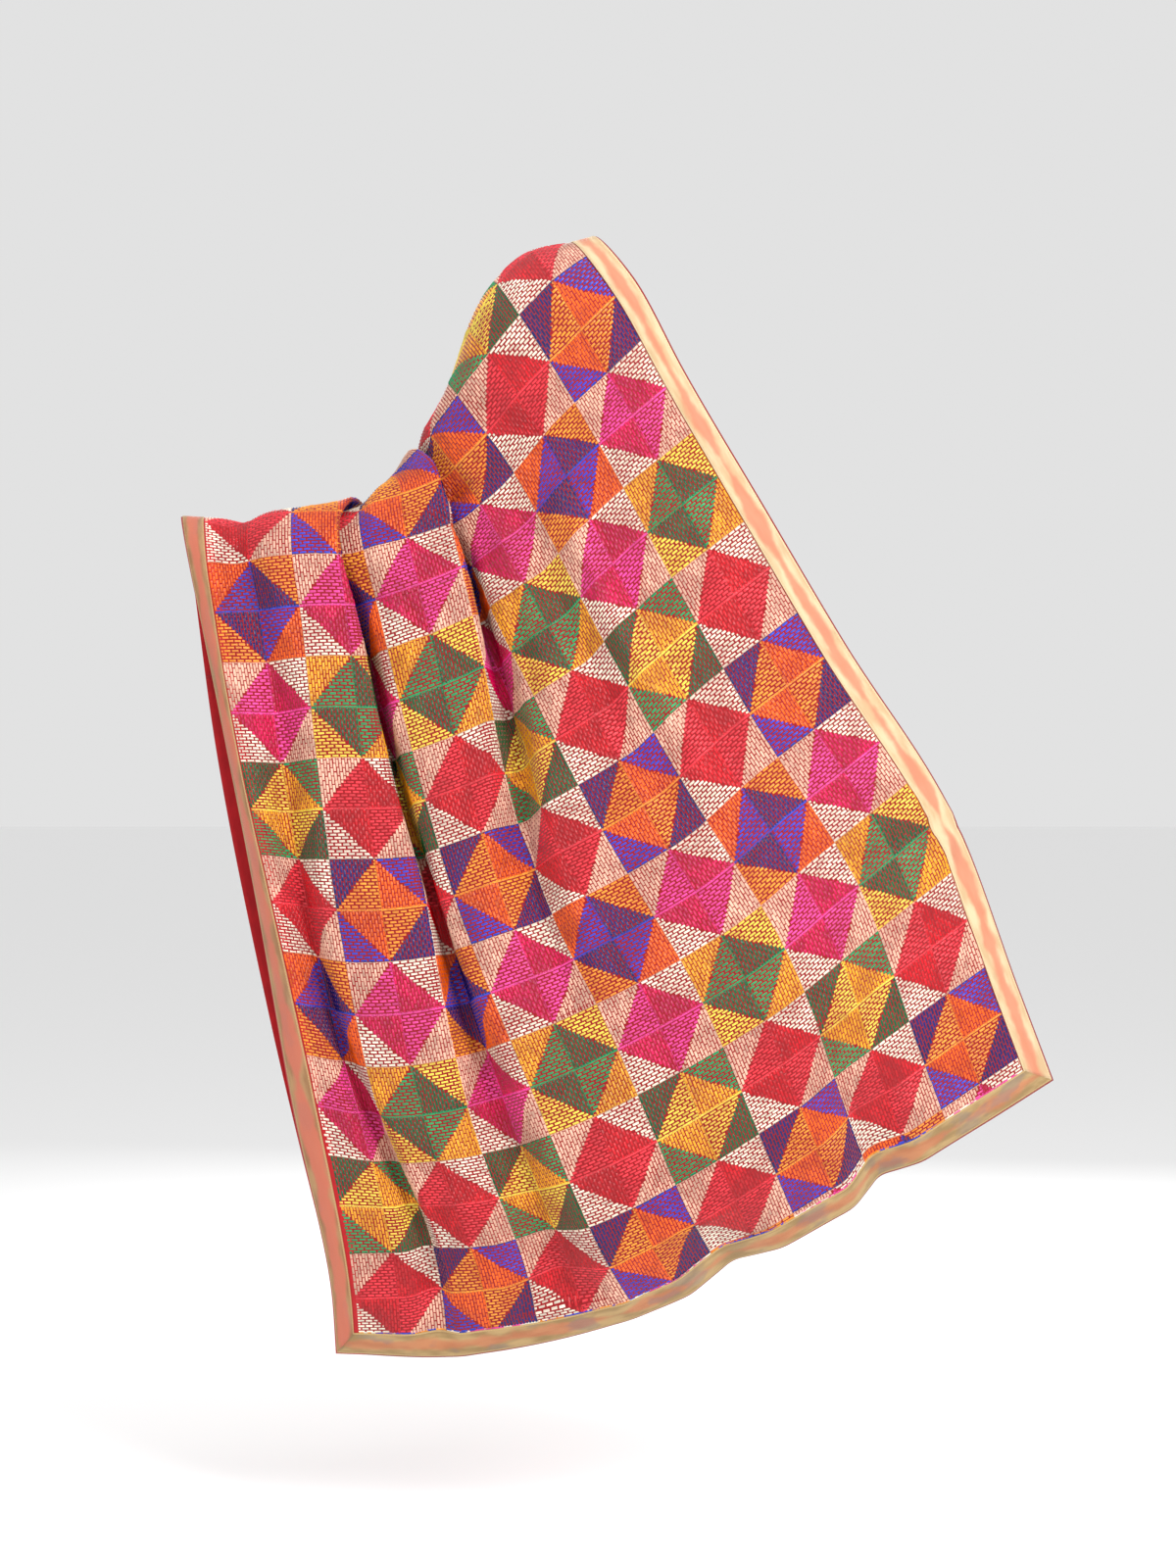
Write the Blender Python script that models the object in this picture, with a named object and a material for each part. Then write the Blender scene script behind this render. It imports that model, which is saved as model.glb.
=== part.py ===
"""Phulkari shawl, draped as it is worn over a left shoulder and forearm, with no wearer.

The shawl is one rectangle of embroidered cloth with a woven tape sewn round its four edges.
The cloth is a thin wall over a drape that is worked out in pattern blocks: rails carry its
thread lines up the back, over the arm and down the front, and folds between the rails take up
the width of cloth that the rails leave over, so its measured width stays true everywhere.

Frame: metres, +Z up. X runs from the wrist to the other hand, the back panel faces -Y, and the
origin is the top of the shoulder, where the shawl rests.
"""
import bmesh
import bpy
import numpy as np

# ---- the cut -------------------------------------------------------------------------------
CLOTH_WIDTH = 0.914          # 36 in, from the wrist edge to the neck edge
CLOTH_LENGTH = 1.980         # 78 in, from the back hem to the front hem
BLOCKS_ACROSS = 8            # embroidered blocks between the two long tapes
BLOCK_ACROSS = 0.1065
BLOCK_ALONG = 0.1130
TAPE_WIDTH = 0.028
TAPE_INSET = 0.002           # cloth edge that peeps out beyond the tape
HEM_START = 0.10             # where the back hem tape's inner edge cuts the pattern at block 0,
HEM_SKEW = -0.03125          # in blocks along, and its drift for each block across

# ---- the walls -----------------------------------------------------------------------------
CLOTH_WALL = 0.0015
TAPE_WALL = 0.0010
SEAM_GAP = 0.0003
STRETCH_GAP = 0.0008         # between two stretches of cloth, along the thread

MARGIN = (CLOTH_WIDTH - BLOCKS_ACROSS * BLOCK_ACROSS) / 2
WRIST_EDGE = -MARGIN / BLOCK_ACROSS     # the long edges, in blocks across
NECK_EDGE = BLOCKS_ACROSS - WRIST_EDGE

CLOTH_COLOR = (0.52, 0.05, 0.05)
CLOTH_ROUGHNESS = 0.75
TAPE_COLOR = (0.68, 0.48, 0.25)
TAPE_ROUGHNESS = 0.55
SHARP_ANGLE = 50.0           # degrees past which an edge is drawn sharp

# ---- the drape -----------------------------------------------------------------------------
# Each rail follows one thread line, so many blocks across from the wrist side. Its rows are
# (blocks along the pattern, x, y, z): up the back, over the arm and down the front.
RAILS = (
    (WRIST_EDGE, (
        (-0.17, -0.243, -0.042, -1.277), (0.6, -0.246, -0.072, -1.201), (2.5, -0.291, -0.065, -0.992),
        (4.5, -0.335, -0.040, -0.757), (6.0, -0.367, -0.030, -0.596), (7.5, -0.403, -0.018, -0.426),
        (8.0, -0.414, -0.022, -0.370), (8.3, -0.421, -0.012, -0.338), (8.6, -0.427, 0.012, -0.314),
        (8.9, -0.426, 0.044, -0.322), (9.2, -0.423, 0.057, -0.352), (11.2, -0.393, 0.060, -0.576),
        (14.0, -0.332, 0.062, -0.886), (17.34, -0.244, 0.064, -1.253))),
    (0.0, (
        (-0.17, -0.219, -0.048, -1.276), (0.6, -0.222, -0.085, -1.197), (2.5, -0.261, -0.085, -0.988),
        (4.5, -0.314, -0.065, -0.758), (6.0, -0.351, -0.050, -0.599), (7.5, -0.383, -0.030, -0.427),
        (8.0, -0.391, -0.032, -0.370), (8.3, -0.395, -0.020, -0.338), (8.6, -0.398, 0.004, -0.316),
        (8.9, -0.398, 0.038, -0.322), (9.2, -0.395, 0.058, -0.350), (11.2, -0.368, 0.066, -0.574),
        (14.0, -0.310, 0.070, -0.885), (17.33, -0.221, 0.072, -1.251))),
    (1.15, (
        (-0.20, -0.096, -0.060, -1.275), (0.6, -0.111, -0.100, -1.188), (2.5, -0.176, -0.105, -0.999),
        (4.5, -0.224, -0.082, -0.767), (6.0, -0.248, -0.062, -0.594), (7.5, -0.269, -0.045, -0.419),
        (8.0, -0.278, -0.038, -0.360), (8.3, -0.280, -0.030, -0.327), (8.6, -0.281, -0.006, -0.304),
        (8.9, -0.281, 0.028, -0.309), (9.2, -0.279, 0.050, -0.334), (11.2, -0.268, 0.075, -0.559),
        (14.0, -0.222, 0.085, -0.875), (17.30, -0.142, 0.085, -1.240))),
    (3.0, (
        (-0.27, 0.105, -0.088, -1.226), (0.6, 0.065, -0.140, -1.153), (2.5, -0.019, -0.135, -0.963),
        (4.5, -0.106, -0.105, -0.750), (6.0, -0.155, -0.075, -0.586), (7.5, -0.199, -0.050, -0.411),
        (8.0, -0.213, -0.040, -0.354), (8.35, -0.219, -0.028, -0.317), (8.7, -0.222, 0.004, -0.290),
        (9.0, -0.223, 0.037, -0.297), (9.3, -0.221, 0.058, -0.323), (11.2, -0.196, 0.085, -0.535),
        (14.0, -0.150, 0.095, -0.848), (17.25, -0.075, 0.095, -1.207))),
    (5.5, (
        (-0.34, 0.333, -0.115, -1.106), (0.6, 0.295, -0.165, -1.018), (2.5, 0.219, -0.170, -0.838),
        (4.5, 0.107, -0.140, -0.648), (6.0, 0.027, -0.105, -0.496), (7.5, -0.053, -0.070, -0.349),
        (8.3, -0.095, -0.050, -0.279), (8.7, -0.124, -0.034, -0.243), (9.15, -0.144, 0.002, -0.214),
        (9.6, -0.142, 0.050, -0.223), (10.0, -0.134, 0.080, -0.254), (11.2, -0.110, 0.108, -0.382),
        (14.0, -0.060, 0.115, -0.690), (17.17, 0.010, 0.110, -1.042))),
    (6.75, (
        (-0.38, 0.436, -0.100, -1.042), (0.6, 0.396, -0.140, -0.944), (2.5, 0.326, -0.150, -0.754),
        (4.5, 0.206, -0.135, -0.562), (6.0, 0.120, -0.115, -0.409), (7.5, 0.040, -0.090, -0.257),
        (8.6, -0.022, -0.072, -0.153), (9.2, -0.062, -0.046, -0.092), (9.7, -0.079, 0.004, -0.064),
        (10.1, -0.076, 0.045, -0.078), (11.2, -0.040, 0.105, -0.182), (14.0, 0.032, 0.125, -0.490),
        (17.13, 0.100, 0.125, -0.836))),
    (7.5, (
        (-0.40, 0.503, -0.090, -1.002), (0.6, 0.463, -0.114, -0.900), (2.5, 0.389, -0.124, -0.705),
        (4.5, 0.268, -0.130, -0.514), (6.0, 0.180, -0.124, -0.361), (7.5, 0.096, -0.102, -0.209),
        (8.6, 0.032, -0.076, -0.098), (9.15, -0.004, -0.044, -0.035), (9.6, -0.022, -0.002, -0.008),
        (10.2, -0.012, 0.058, -0.038), (11.2, 0.032, 0.106, -0.134), (14.0, 0.104, 0.127, -0.442),
        (17.10, 0.172, 0.130, -0.784))),
    (NECK_EDGE, (
        (-0.42, 0.574, -0.070, -0.960), (0.6, 0.534, -0.080, -0.857), (2.5, 0.456, -0.085, -0.653),
        (4.5, 0.334, -0.105, -0.464), (6.0, 0.243, -0.115, -0.312), (7.5, 0.155, -0.095, -0.159),
        (8.5, 0.098, -0.068, -0.049), (9.3, 0.053, -0.010, 0.008), (9.9, 0.056, 0.058, -0.016),
        (11.2, 0.106, 0.105, -0.147), (14.0, 0.182, 0.125, -0.454), (17.08, 0.250, 0.130, -0.794))),
)

# Where each thread line crosses the top of the arm or shoulder: (blocks across, blocks along).
CREST = ((WRIST_EDGE, 8.6), (1.15, 8.6), (3.0, 8.7), (5.5, 9.2), (6.75, 9.7), (NECK_EDGE, 9.3))

# The fold past each rail, by that rail's place. Its rows are (blocks along, where its hidden wall
# starts, that wall's length, lean in degrees), the middle two in blocks across. A lean of 90 lays
# the pleat flat, as it is on the arm. Behind the arm a fold is a valley past its hidden wall, and
# in front of the arm a ridge before it.
FOLDS = {
    0.0: (
        (-0.5, 0.60, 0.28, 0), (1.4, 0.62, 0.28, 0), (2.4, 0.40, 0.34, 0), (3.5, 0.16, 0.36, 5),
        (4.5, 0.10, 0.36, 5), (6.5, 0.12, 0.42, 0), (7.5, 0.08, 0.36, 0), (8.5, 0.04, 0.32, 0),
        (9.3, 0.50, 0.34, 0), (11.0, 0.58, 0.40, 0), (17.6, 0.60, 0.40, 0)),
    1.15: (
        (-0.5, 1.70, 0.60, 0), (1.5, 1.80, 0.56, 0), (3.5, 1.95, 0.44, 5), (4.5, 1.97, 0.44, 12),
        (5.5, 1.83, 0.50, 16), (6.5, 1.70, 0.57, 20), (7.5, 1.60, 0.64, 34), (8.0, 1.55, 0.63, 74),
        (8.4, 1.54, 0.63, 90), (9.0, 1.76, 0.61, 90), (9.5, 1.96, 0.61, 80), (10.2, 1.98, 0.62, 45),
        (11.0, 1.96, 0.65, 18), (12.0, 1.94, 0.68, 6), (14.0, 1.95, 0.70, 4), (17.6, 1.98, 0.72, 0)),
    3.0: (
        (-0.5, 3.60, 0.60, 0), (3.5, 3.30, 0.45, 0), (4.5, 3.44, 0.48, 0), (5.5, 3.75, 0.50, 8),
        (6.5, 3.97, 0.52, 15), (7.5, 4.05, 0.54, 30), (8.0, 4.03, 0.58, 60), (8.6, 3.98, 0.67, 90),
        (9.0, 4.00, 0.63, 90), (9.5, 4.02, 0.51, 88), (10.2, 4.12, 0.49, 60), (11.0, 4.16, 0.52, 25),
        (12.0, 4.18, 0.52, 6), (17.6, 4.20, 0.55, 0)),
    5.5: ((-0.5, 5.62, 0.50, 0), (9.0, 5.62, 0.50, 0), (10.4, 6.10, 0.50, 0), (17.6, 6.10, 0.50, 0)),
}
RIM_ROUND = 0.24             # blocks of cloth that turn each rim of an upright fold
FLATTER_RIM = 0.60           # share of that which a flat pleat does without
STEEPEST = 88.0              # degrees that a fold's walls may bend to
LEANING = 75.0               # bend past which a fold leans as far as its row says
LIES_FROM = 20.0             # lean past which a fold is pressed down, its walls taking the rest
LEVEL_OVER = 0.36            # blocks of cloth that carry a leaning fold's side back to level
CREST_BLEND = 1.0            # blocks past the crest over which a valley becomes a ridge
ACROSS_STEPS = 960           # steps across the cloth in which the folds are worked out
RAIL_STEPS = 24              # steps between two rails
HALVINGS = 22                # of the range, in each search for a fold's bend or wall
WALL_RANGE = (0.3, 1.4)      # shares of its row's length that a hidden wall may come to

# ---- the mesh ------------------------------------------------------------------------------
CLOSEST = 0.025              # blocks that stay between two columns
# Columns past each rail. Those that follow a fold are given by their reaches, in lengths of its
# hidden wall from that wall's start. Elsewhere they are evenly spaced, so many to a gap.
FOLD_COLUMNS = {
    0.0: (-0.3, 0.1, 0.5, 0.9, 1.3, 1.7, 2.1),
    1.15: (-1.15, -0.9, -0.5, -0.18, -0.06, 0.06, 0.18, 0.5, 0.82, 0.94, 1.06, 1.18, 1.5, 1.86, 2.12),
    3.0: (-1.15, -0.9, -0.5, -0.18, -0.06, 0.06, 0.18, 0.5, 0.82, 0.94, 1.06, 1.18, 1.5, 1.9, 2.3),
}
SOFT_COLUMNS = {5.5: 4, 6.75: 2, 7.5: 2}
# Stretches of cloth, each its own wall: (name, where it ends in blocks from the hem, rows).
STRETCHES = (("shawl_back", 7.45, 26), ("shawl_over_arm", 10.4, 17), ("shawl_front", 16.99, 20))


def smooth(x):
    """0 to 1 with level ends."""
    x = np.clip(x, 0.0, 1.0)
    return x * x * (3.0 - 2.0 * x)


def spline(stations, values, at):
    """Smooth curve through the rows of values at the stations, read at the places in at."""
    stations = np.asarray(stations, float)
    values = np.asarray(values, float)
    at = np.asarray(at, float)
    gaps = np.diff(stations)[:, None]
    rises = np.diff(values, axis=0) / gaps
    inner = (rises[:-1] * gaps[1:] + rises[1:] * gaps[:-1]) / (gaps[:-1] + gaps[1:])
    slopes = np.vstack([rises[:1], inner, rises[-1:]])
    k = np.clip(np.searchsorted(stations, at) - 1, 0, len(stations) - 2)
    f = ((at - stations[k]) / gaps[k, 0])[:, None]
    return (values[k] * (2 * f**3 - 3 * f**2 + 1) + slopes[k] * gaps[k] * (f**3 - 2 * f**2 + f)
            + values[k + 1] * (3 * f**2 - 2 * f**3) + slopes[k + 1] * gaps[k] * (f**3 - f**2))


def columns(rows, v):
    """All columns of a table but its first, read at the places v along the cloth."""
    table = np.array(rows)
    return spline(table[:, 0], table[:, 1:], v)


def bump(u, start, end, rim):
    """1 between start and end, its two ends rounded over the width rim."""
    return smooth((u - start) / rim + 0.5) - smooth((u - end) / rim + 0.5)


def fold_slopes(u, start, wall, lean, front, bend):
    """Slope of the cloth at the places u across one fold, in radians."""
    lean = lean * min(1.0, bend / LEANING) ** 2
    rim = RIM_ROUND * (1 - FLATTER_RIM * lean / 90)
    hidden = bump(u, start, start + wall, rim)
    shown = (front * bump(u, start - wall, start, rim)
             + (1 - front) * bump(u, start + wall, start + 2 * wall, rim))
    return np.radians((bend - lean) * shown - (bend + lean) * hidden)


def search(low, high, too_little):
    """The value between low and high at which too_little turns false."""
    for _ in range(HALVINGS):
        middle = (low + high) / 2
        if too_little(middle):
            low = middle
        else:
            high = middle
    return middle


def settle(u, step, room, fold, front):
    """The fold's wall length and bend, in degrees, at which the cloth at the places u between two
    rails just fills the room between them."""
    start, wall, lean = fold

    def too_wide(wall, bend):
        slopes = fold_slopes(u, start, wall, lean, front, bend)
        return np.cos(slopes).sum() * step > room

    bend = search(0.0, STEEPEST, lambda bend: too_wide(wall, bend))
    bend = max(bend, STEEPEST * smooth((lean - LIES_FROM) / (90 - LIES_FROM)))
    shortest, longest = (share * wall for share in WALL_RANGE)
    return search(shortest, longest, lambda wall: too_wide(wall, bend)), bend


def level(u, start, wall, front, height):
    """Rise of each step of cloth beside a leaning fold that carries it back to level: past the
    fold behind the arm, before it in front."""
    before = smooth((u - start + wall) / LEVEL_OVER + 1)
    after = smooth((u - start - 2 * wall) / LEVEL_OVER)
    return -height * np.diff(front * before + (1 - front) * after, append=1.0)


def pattern_place(across, along):
    """Blocks along the pattern, for places given from the back hem tape's inner edge."""
    return along + HEM_START + HEM_SKEW * across


class Drape:
    """The hang of the cloth at places along it, in blocks from the back hem tape's inner edge."""

    def __init__(self, along):
        self.along = along
        self.rail_at = np.array([place for place, _ in RAILS])
        self.sheet = self.smooth_sheet()
        lengths = np.linalg.norm(np.diff(self.sheet, axis=1), axis=2)
        self.arcs = np.concatenate([np.zeros((len(along), 1)), np.cumsum(lengths, axis=1)], axis=1)
        self.edges = np.linspace(self.rail_at[0], self.rail_at[-1], ACROSS_STEPS + 1)
        self.middles = (self.edges[1:] + self.edges[:-1]) / 2
        self.step = (self.edges[1] - self.edges[0]) * BLOCK_ACROSS
        self.folds = {left: self.settled_folds(left, rows) for left, rows in FOLDS.items()}

    def smooth_sheet(self):
        """The sheet through the rails, with no folds in it yet."""
        rails = [columns(rows, pattern_place(at, self.along)) for at, rows in RAILS]
        knots = np.linspace(0, len(RAILS) - 1, RAIL_STEPS * (len(RAILS) - 1) + 1)
        sheet = []
        for points in np.stack(rails, axis=1):
            chords = np.sqrt(np.linalg.norm(np.diff(points, axis=0), axis=1))
            places = np.concatenate([[0.0], np.cumsum(chords)])
            sheet.append(spline(places, points, np.interp(knots, range(len(RAILS)), places)))
        return np.array(sheet)

    def between(self, left):
        """The steps of cloth between the rail at left and the next, and the room for them."""
        k = list(self.rail_at).index(left)
        inside = (self.middles >= left) & (self.middles < self.rail_at[k + 1])
        return inside, self.arcs[:, (k + 1) * RAIL_STEPS] - self.arcs[:, k * RAIL_STEPS]

    def settled_folds(self, left, rows):
        """For each place along: the fold's start, wall, lean, front share and bend."""
        inside, rooms = self.between(left)
        places = pattern_place(left, self.along)
        crest_u, crest_v = np.transpose(CREST)
        settled = []
        for room, (start, wall, lean), v in zip(rooms, columns(rows, places), self.along):
            lean = np.clip(lean, 0, 90)
            past_crest = pattern_place(start, v) - np.interp(start, crest_u, crest_v)
            front = smooth(past_crest / CREST_BLEND)
            bend = 0.0
            if room < inside.sum() * self.step:
                fold = (start, wall, lean)
                wall, bend = settle(self.middles[inside], self.step, room, fold, front)
            settled.append((start, wall, lean, front, bend))
        return np.array(settled)

    def points(self, across):
        """Points of the cloth's face. across has a row of places, in blocks from the wrist side,
        for each place along."""
        run = np.zeros((len(self.along), ACROSS_STEPS))
        rise = np.zeros_like(run)
        for left in self.rail_at[:-1]:
            inside, rooms = self.between(left)
            run[:, inside] = self.step
            for row, fold in enumerate(self.folds.get(left, ())):
                slopes = fold_slopes(self.middles[inside], *fold)
                run[row, inside] *= np.cos(slopes)
                rise[row, inside] += np.sin(slopes) * self.step
                height = np.sin(slopes).sum() * self.step
                start, wall, _, front, _ = fold
                rise[row] += level(self.middles, start, wall, front, height)
            run[:, inside] *= (rooms / run[:, inside].sum(axis=1))[:, None]
        normals = face_normals(self.sheet, self.along)
        points = np.zeros((*across.shape, 3))
        for row, places in enumerate(across):
            arc = np.interp(places, self.edges, np.concatenate([[0.0], np.cumsum(run[row])]))
            lift = np.interp(places, self.edges, np.concatenate([[0.0], np.cumsum(rise[row])]))
            for axis in range(3):
                base = np.interp(arc, self.arcs[row], self.sheet[row, :, axis])
                out = np.interp(arc, self.arcs[row], normals[row, :, axis])
                points[row, :, axis] = base + lift * out
        return points


def face_normals(points, along):
    """Outward direction at each point of a grid that runs along, then across."""
    normals = np.cross(np.gradient(points, axis=1), np.gradient(points, along, axis=0))
    return normals / np.linalg.norm(normals, axis=2, keepdims=True)


def column_places(drape):
    """Places across of the grid's columns, which follow the folds."""
    edge = [WRIST_EDGE + reach / BLOCK_ACROSS for reach in (0.0, TAPE_INSET, TAPE_INSET + TAPE_WIDTH)]
    grid = [np.full(len(drape.along), place) for place in edge]
    for left, right in zip(drape.rail_at[1:-1], drape.rail_at[2:]):
        if left in FOLD_COLUMNS:
            reaches = FOLD_COLUMNS[left]
            start, wall = drape.folds[left].T[:2]
            if left > 0.0:
                grid.append(np.full(len(start), left))
            for n, reach in enumerate(reaches):
                room_left = left + CLOSEST * (n + 1)
                room_right = right - CLOSEST * (len(reaches) - n)
                grid.append(np.clip(start + reach * wall, room_left, room_right))
        else:
            last = BLOCKS_ACROSS if right == NECK_EDGE else right
            parts = np.linspace(0, 1, SOFT_COLUMNS[left], endpoint=False)
            grid += [np.full(len(drape.along), left + part * (last - left)) for part in parts]
    grid += [np.full(len(drape.along), BLOCKS_ACROSS - place) for place in reversed(edge)]
    return np.stack(grid, axis=1)


def row_places():
    """Places along of the grid's rows, and where each stretch of cloth begins and ends."""
    hem = [-(TAPE_INSET + TAPE_WIDTH) / BLOCK_ALONG, -TAPE_WIDTH / BLOCK_ALONG]
    last = (CLOTH_LENGTH - 2 * (TAPE_INSET + TAPE_WIDTH)) / BLOCK_ALONG
    seam = STRETCH_GAP / BLOCK_ALONG
    rows = list(hem)
    start = 0.0
    spans = []
    begin = 0
    for name, end, count in STRETCHES:
        end = last if name == STRETCHES[-1][0] else end
        rows += list(np.linspace(start, end, count))
        if end == last:
            rows += [last - hem[1], last - hem[0]]
        spans.append((name, begin, len(rows)))
        begin = len(rows)
        start = end + seam
    return np.array(rows), spans


TRIANGLES = {
    "square": (((0, 0), (0, 1), (1, 1)), ((0, 0), (1, 1), (1, 0))),
    "below_right": (((0, 0), (0, 1), (1, 1)),),
    "above_left": (((0, 0), (1, 1), (1, 0)),),
    "below_left": (((0, 0), (0, 1), (1, 0)),),
    "above_right": (((0, 1), (1, 1), (1, 0)),),
}


def solid(name, outer, inner, cells, material):
    """A closed wall between two grids of points, over the grid's named squares."""
    mesh = bmesh.new()
    made = {}

    def corner(grid, at):
        key = (grid is inner, *at)
        if key not in made:
            made[key] = mesh.verts.new(grid[at])
        return made[key]

    borders = set()
    for row, column, kind in cells:
        for triangle in TRIANGLES[kind]:
            ring = [(row + up, column + over) for up, over in triangle]
            mesh.faces.new([corner(outer, at) for at in ring])
            mesh.faces.new([corner(inner, at) for at in reversed(ring)])
            borders |= set(zip(ring, ring[1:] + ring[:1]))
    for a, b in sorted(borders):
        if (b, a) not in borders:
            mesh.faces.new([corner(outer, b), corner(outer, a), corner(inner, a), corner(inner, b)])
    data = bpy.data.meshes.new(name)
    mesh.to_mesh(data)
    mesh.free()
    data.materials.append(material)
    data.shade_smooth()
    data.set_sharp_from_angle(angle=np.radians(SHARP_ANGLE))
    bpy.context.scene.collection.objects.link(bpy.data.objects.new(name, data))


def plain_material(name, color, roughness):
    """A plain Principled material."""
    made = bpy.data.materials.new(name)
    made.use_nodes = True
    shader = made.node_tree.nodes["Principled BSDF"]
    shader.inputs["Base Color"].default_value = (*color, 1.0)
    shader.inputs["Roughness"].default_value = roughness
    shader.inputs["Metallic"].default_value = 0.0
    made.diffuse_color = (*color, 1.0)
    return made


def tape_cells(rows, width):
    """Squares of the grid under each tape, cut on the mitre where two tapes meet."""
    top, right = rows - 3, width - 3
    up, over = range(2, top), range(2, right)
    return {
        "tape_wrist_edge": [(1, 1, "above_left"), (top, 1, "below_left")]
                           + [(row, 1, "square") for row in up],
        "tape_neck_edge": [(1, right, "above_right"), (top, right, "below_right")]
                          + [(row, right, "square") for row in up],
        "tape_back_end": [(1, 1, "below_right"), (1, right, "below_left")]
                         + [(1, column, "square") for column in over],
        "tape_front_end": [(top, 1, "above_right"), (top, right, "above_left")]
                          + [(top, column, "square") for column in over],
    }


def open_mitres(grid):
    """The grid with the long tapes' mitre points drawn back, which parts them from the end tapes."""
    opened = grid.copy()
    rows, width = grid.shape[:2]
    for row, step in ((1, 1), (2, 1), (rows - 2, -1), (rows - 3, -1)):
        column = 1 if row in (1, rows - 2) else 2
        for at in (column, width - 1 - column):
            toward = grid[row + step, at] - grid[row, at]
            opened[row, at] += toward / np.linalg.norm(toward) * SEAM_GAP * np.sqrt(2)
    return opened


def clear_scene():
    for item in list(bpy.data.objects):
        bpy.data.objects.remove(item)


def build():
    clear_scene()
    along, stretches = row_places()
    drape = Drape(along)
    face = drape.points(column_places(drape))
    normals = face_normals(face, along)
    cloth = plain_material("embroidered_cloth", CLOTH_COLOR, CLOTH_ROUGHNESS)
    tape = plain_material("gold_tape", TAPE_COLOR, TAPE_ROUGHNESS)

    reverse = face - normals * CLOTH_WALL
    for name, first, last in stretches:
        cells = [(row, column, "square") for row in range(first, last - 1)
                 for column in range(face.shape[1] - 1)]
        solid(name, face, reverse, cells, cloth)

    under = face + normals * SEAM_GAP
    over = face + normals * (SEAM_GAP + TAPE_WALL)
    for name, cells in tape_cells(*face.shape[:2]).items():
        if name.endswith("_edge"):
            solid(name, open_mitres(over), open_mitres(under), cells, tape)
        else:
            solid(name, over, under, cells, tape)


build()
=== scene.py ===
"""The looks of the phulkari shawl: embroidered cloth, floss stitches and tape, in the CAD's frame.

The drape is the one that the CAD solids have, worked out again here at a finer spacing. Every
piece is laid out on the flat cut and then carried onto the drape: the cloth's wall, the floss
stitches of each colour, the four tapes and the rows of sewing that hold them.

Places on the cut are in blocks: across from the wrist side, and along from the back hem tape's
inner edge. The pattern's own rows drift a little from the hem, as pattern_place says.
"""

import bpy
import mathutils
import numpy as np
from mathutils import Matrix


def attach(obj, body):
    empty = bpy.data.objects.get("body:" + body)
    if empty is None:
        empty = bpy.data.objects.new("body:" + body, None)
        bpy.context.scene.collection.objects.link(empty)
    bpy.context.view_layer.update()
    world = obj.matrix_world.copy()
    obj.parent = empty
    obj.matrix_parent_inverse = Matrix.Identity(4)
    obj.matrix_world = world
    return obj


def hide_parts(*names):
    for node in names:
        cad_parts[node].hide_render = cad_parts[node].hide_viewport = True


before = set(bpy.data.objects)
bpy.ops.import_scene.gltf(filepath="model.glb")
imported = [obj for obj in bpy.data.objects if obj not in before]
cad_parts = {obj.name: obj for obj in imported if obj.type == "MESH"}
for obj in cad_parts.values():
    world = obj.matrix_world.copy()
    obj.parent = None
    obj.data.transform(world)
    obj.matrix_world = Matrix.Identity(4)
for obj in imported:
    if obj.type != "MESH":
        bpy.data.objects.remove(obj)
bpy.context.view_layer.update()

# ---- the cut -------------------------------------------------------------------------------
CLOTH_WIDTH = 0.914          # 36 in, from the wrist edge to the neck edge
CLOTH_LENGTH = 1.980         # 78 in, from the back hem to the front hem
BLOCKS_ACROSS = 8            # embroidered blocks between the two long tapes
BLOCK_ACROSS = 0.1065
BLOCK_ALONG = 0.1130
TAPE_WIDTH = 0.028
TAPE_INSET = 0.002           # cloth edge that peeps out beyond the tape
HEM_START = 0.10             # where the back hem tape's inner edge cuts the pattern at block 0,
HEM_SKEW = -0.03125          # in blocks along, and its drift for each block across

MARGIN = (CLOTH_WIDTH - BLOCKS_ACROSS * BLOCK_ACROSS) / 2
WRIST_EDGE = -MARGIN / BLOCK_ACROSS     # the long edges, in blocks across
NECK_EDGE = BLOCKS_ACROSS - WRIST_EDGE

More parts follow.
